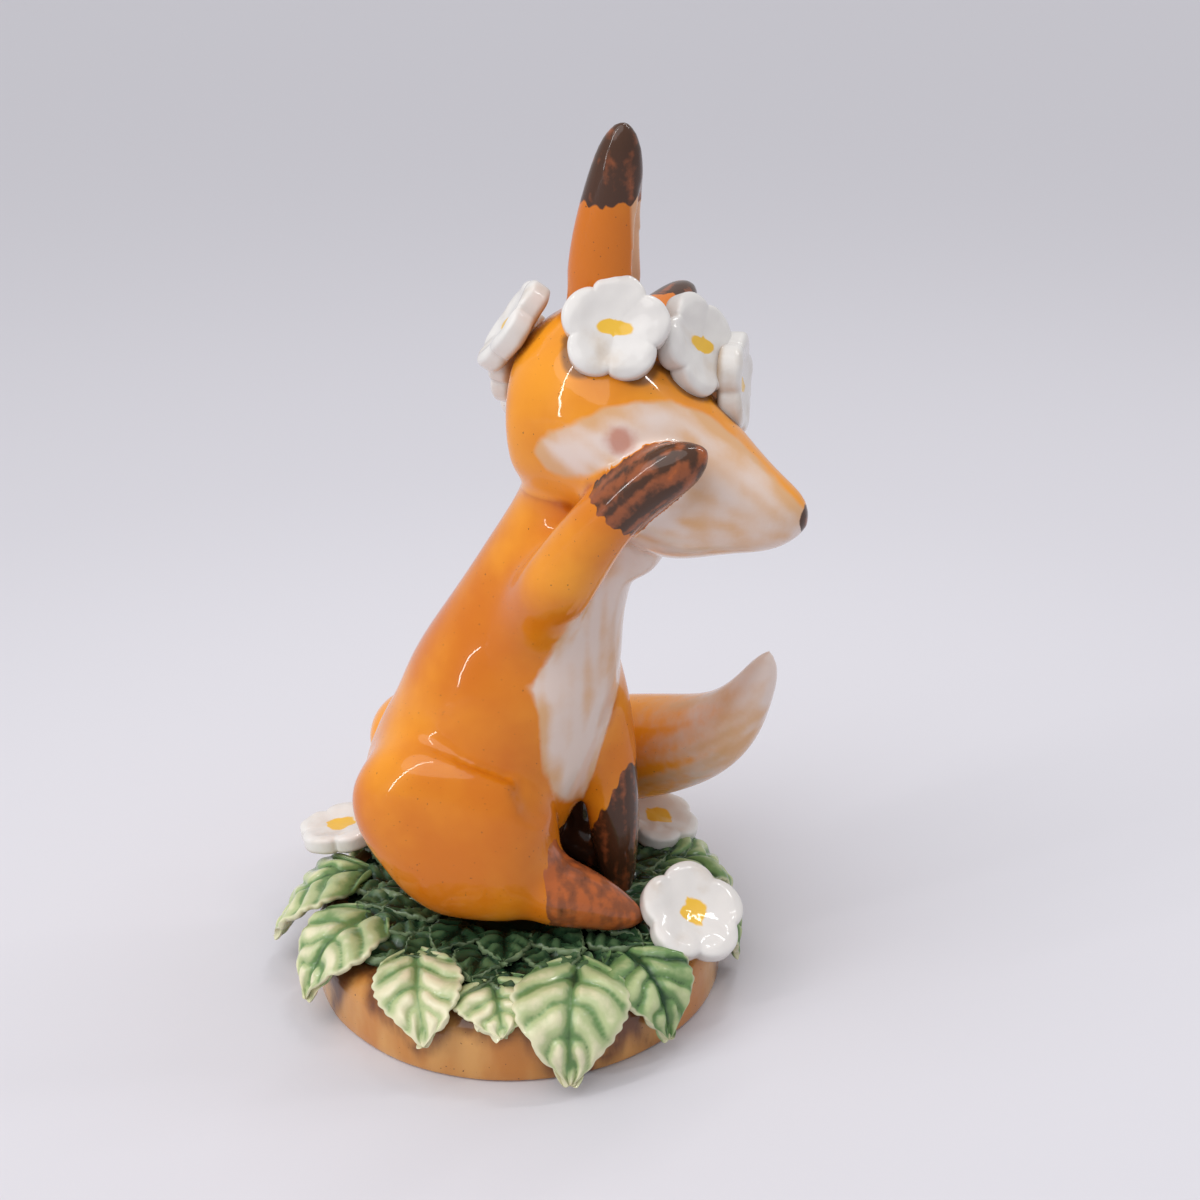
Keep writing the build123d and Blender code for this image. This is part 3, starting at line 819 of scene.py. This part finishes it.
# Flowers: five-petalled flowers cut from rolled clay, with rounded edges and a pressed middle,
# stuck in a wreath round the head and at the edge of the plinth. White glaze, yellow dab of paint.
petals = 5
petal_notch = 0.17
petal_edge = 0.38
petal_unevenness = 0.035
petal_lumps = 0.00025
flower_dish = 0.0009
flower_dish_share = 0.80
dab_half_length = 2.5
no_dab = 9.0


def clay_flower(name, diameter, thickness, place, turn, dab_half_width, seed):
    """One flower with its back on the origin of a place, facing along the place's z axis."""
    bpy.ops.object.select_all(action="DESELECT")
    bpy.ops.mesh.primitive_uv_sphere_add(segments=120, ring_count=44, radius=1)
    flower = bpy.context.object
    flower.name = name
    centres, fronts = [], []
    for vertex in flower.data.vertices:
        bearing = atan2(vertex.co.y, vertex.co.x)
        level = vertex.co.z
        out = max(0.0, 1 - level * level) ** 0.5
        lobe = abs(cos(petals / 2 * (bearing + turn)))
        uneven = 1 + petal_unevenness * noise.noise((cos(bearing) * 1.3, sin(bearing) * 1.3, seed))
        reach = diameter / 2 * (1 - petal_notch * (1 - lobe ** 0.7)) * uneven
        radius = reach * out ** petal_edge
        height = thickness / 2 * (1 + (1 if level > 0 else -1) * abs(level) ** petal_edge)
        share = radius / (diameter / 2)
        if level > 0:
            height -= flower_dish * max(0.0, 1 - (share / flower_dish_share) ** 2) ** 1.2
        lump_place = (cos(bearing) * share * 3, sin(bearing) * share * 3, seed + 9)
        height += petal_lumps * noise.noise(lump_place)
        spot = Vector((radius * cos(bearing), radius * sin(bearing), height))
        dab = abs(spot.y) * 1000 / dab_half_length + (spot.x * 1000 / dab_half_width) ** 2
        centres.append(dab if level > 0 else no_dab)
        fronts.append(height / thickness)
        vertex.co = place @ spot
    write_attribute(flower, "centre", centres)
    write_attribute(flower, "front", fronts)
    bpy.ops.object.shade_smooth()
    return flower


flower_white = (0.76, 0.73, 0.70)
flower_warm = (0.60, 0.50, 0.40)
flower_back_pool_and_shade = (0.44, 0.29, 0.17)
flower_yellow = (0.84, 0.50, 0.050)
flower_roughness = 0.25
flower_coat = 0.6
flower_ripple_depth = 0.0003
flower_ripple_strength = 0.2
flower_glaze, flower_shader = new_glaze("flower_glaze", flower_roughness, flower_coat)
flower_clouds = noise_value(flower_glaze, 160, 4)
flower_smears = noise_value(flower_glaze, 330, 3)
flower_frays = combine(flower_glaze, "SUBTRACT", noise_value(flower_glaze, 420, 2), 0.5)
flower_ripple = noise_value(flower_glaze, 420, 3)
front_field = total(
    flower_glaze, attribute_value(flower_glaze, "front"), share_of(flower_glaze, flower_smears, 0.3))
dab_field = total(
    flower_glaze, attribute_value(flower_glaze, "centre"), share_of(flower_glaze, flower_frays, 0.8))
# The back and lower side of each flower are painted tan: glaze pooled at its back edge, and painted shade
# beneath it.
front_cover = ramp(flower_glaze, front_field, 0.10, 0.55)
flower_colour = paint(
    flower_glaze, flower_white, flower_warm, ramp(flower_glaze, flower_clouds, 0.52, 0.85))
flower_colour = paint(flower_glaze, flower_back_pool_and_shade, flower_colour, front_cover)
flower_colour = paint(
    flower_glaze, flower_yellow, flower_colour, ramp(flower_glaze, dab_field, 0.85, 1.05))
wire(flower_glaze, flower_colour, flower_shader.inputs["Base Color"])
bump(flower_glaze, flower_shader, flower_ripple, flower_ripple_depth, flower_ripple_strength)

# Wreath: angle round the ring, height in the head's frame and distance of the back from the head
# in mm, lean of the face upwards and turn of the petals in degrees.
wreath_rows = [
    (2, 5.5, 3.0, 4, 10), (-29, 7.8, 2.6, 8, 30), (-76, 7.0, 1.1, -2, 0), (-146, 8.4, 0.8, 22, 20),
    (-180, 7.2, 1.4, 12, 30), (145, 5.6, 0.4, 10, 8), (107, 6.0, -0.2, -4, 52), (71, 6.8, 0.4, -12, 25),
    (37, 6.6, 1.6, 8, 60),
]
wreath_diameter = 0.0142
wreath_thickness = 0.0037
wreath_dab_half_width = 1.7
ring_forward = 0.0004
ring_clear = 0.05
head_surface = surface_of("head")
for number, (angle, up, out, lean, turn) in enumerate(wreath_rows, start=1):
    bearing, rise = radians(angle), radians(lean)
    ring_centre = head_frame @ Vector((ring_forward, 0, up / 1000))
    outward = head_frame.to_3x3() @ Vector((cos(bearing), sin(bearing), 0))
    upward = head_frame.to_3x3() @ Vector((0, 0, 1))
    facing = outward * cos(rise) + upward * sin(rise)
    surface, normal, face, distance = head_surface.ray_cast(ring_centre + outward * ring_clear, -outward)
    side = (upward - facing * upward.dot(facing)).normalized()
    place = Matrix((side, facing.cross(side), facing)).transposed().to_4x4()
    place.translation = surface + outward * out / 1000
    flower = clay_flower(
        f"wreath_flower_{number}", wreath_diameter, wreath_thickness, place, -radians(turn),
        wreath_dab_half_width, number)
    flower.data.materials.append(flower_glaze)
    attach(flower, "root")
    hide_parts(f"crown_flower_{number}")

# Flowers on the plinth: bearing and radius of the place, height of the back over the plinth and
# diameter in mm, bearing of the tilt, tilt from lying flat and turn of the petals in degrees.
edge_rows = [
    (173, 32.6, 2.9, 14.6, 178, 8, 0),
    (54, 28.4, 2.0, 14.4, -20, 12, 20),
    (-6, 28.6, 2.8, 16.6, -42, 34, 14),
]
edge_thickness = 0.0034
edge_dab_half_width = 2.8
edge_seed = 20
for number, (bearing, radius, height, diameter, tilt_bearing, tilt, turn) in enumerate(edge_rows, start=1):
    lean, slant = radians(tilt_bearing), radians(tilt)
    facing = Vector((cos(lean) * sin(slant), sin(lean) * sin(slant), cos(slant)))
    side = Vector((cos(lean) * cos(slant), sin(lean) * cos(slant), -sin(slant)))
    place = Matrix((side, facing.cross(side), facing)).transposed().to_4x4()
    around = radians(bearing)
    place.translation = Vector((radius * cos(around), radius * sin(around), height)) / 1000
    place.translation.z += plinth_height
    flower = clay_flower(
        f"edge_flower_{number}", diameter / 1000, edge_thickness, place, -radians(turn),
        edge_dab_half_width, edge_seed + number)
    flower.data.materials.append(flower_glaze)
    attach(flower, "root")
    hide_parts(f"base_flower_{number}")

# Studio: a wide pale table in even light, painted a little darker away from the figure as painted shade, with
# a soft key light from the left and narrow ceiling lights that show as streaks in the glaze.
floor_near = (0.675, 0.66, 0.70)
floor_painted_shade = (0.625, 0.61, 0.65)
floor_near_reach, floor_painted_shade_reach = 0.08, 0.28
floor_size = 60
floor_roughness = 0.85
floor_specular = 0.1
sky_colour = (0.96, 0.97, 1.0, 1)
sky_strength = 0.57
key_power = 1.3
key_spread = radians(60)
key_turn = (radians(28), radians(-22), 0)
figure_middle = Vector((0, 0, 0.07))
# Narrow lights: name, place, width, length and power
strip_rows = [
    ("left_window", (-0.38, -0.36, 0.36), 0.012, 0.72, 0.85),
    ("ceiling_1", (0.08, 0.16, 0.64), 0.018, 0.20, 0.40),
    ("ceiling_2", (0.30, 0.14, 0.56), 0.018, 0.20, 0.40),
]

bpy.ops.object.select_all(action="DESELECT")
bpy.ops.mesh.primitive_plane_add(size=floor_size, location=(0, 0, 0))
floor = bpy.context.object
floor.name = "studio_floor"
floor_paint = bpy.data.materials.new("floor_paint")
floor_paint.use_nodes = True
floor_shader = floor_paint.node_tree.nodes["Principled BSDF"]
floor_shader.inputs["Roughness"].default_value = floor_roughness
floor_shader.inputs["Specular IOR Level"].default_value = floor_specular
floor_place = add_node(floor_paint, "ShaderNodeTexCoord")
floor_away = add_node(floor_paint, "ShaderNodeVectorMath", operation="LENGTH")
wire(floor_paint, floor_place.outputs["Object"], floor_away.inputs[0])
# The floor is painted darker away from the figure, as painted shade.
floor_colour = paint(floor_paint, floor_near, floor_painted_shade, ramp(
    floor_paint, floor_away.outputs["Value"], floor_near_reach, floor_painted_shade_reach))
wire(floor_paint, floor_colour, floor_shader.inputs["Base Color"])
floor.data.materials.append(floor_paint)

world = bpy.data.worlds.new("studio")
world.use_nodes = True
world.node_tree.nodes["Background"].inputs["Color"].default_value = sky_colour
world.node_tree.nodes["Background"].inputs["Strength"].default_value = sky_strength
bpy.context.scene.world = world

key_data = bpy.data.lights.new("soft_key", "SUN")
key_data.energy = key_power
key_data.angle = key_spread
key = bpy.data.objects.new("soft_key", key_data)
key.rotation_euler = key_turn
bpy.context.scene.collection.objects.link(key)

for name, place, width, length, power in strip_rows:
    light_data = bpy.data.lights.new(name, "AREA")
    light_data.shape = "RECTANGLE"
    light_data.size, light_data.size_y = width, length
    light_data.energy = power
    light = bpy.data.objects.new(name, light_data)
    light.location = place
    light.rotation_euler = (figure_middle - Vector(place)).to_track_quat("-Z", "Y").to_euler()
    bpy.context.scene.collection.objects.link(light)

bpy.context.scene.view_settings.view_transform = "Standard"

# Camera: at the photographed viewing angle. It looks at the fox's right side from a little in front
# and from above.
camera_lens = 45
camera_sensor = 36
camera_clear = 0.01
camera_place = (0.0691, -0.1939, 0.1454)
camera_turn = (radians(67.8), 0, radians(16))
camera_data = bpy.data.cameras.new("camera")
camera_data.lens = camera_lens
camera_data.sensor_width = camera_sensor
camera_data.clip_start = camera_clear
camera = bpy.data.objects.new("camera", camera_data)
camera.location = camera_place
camera.rotation_euler = camera_turn
bpy.context.scene.collection.objects.link(camera)
bpy.context.scene.camera = camera
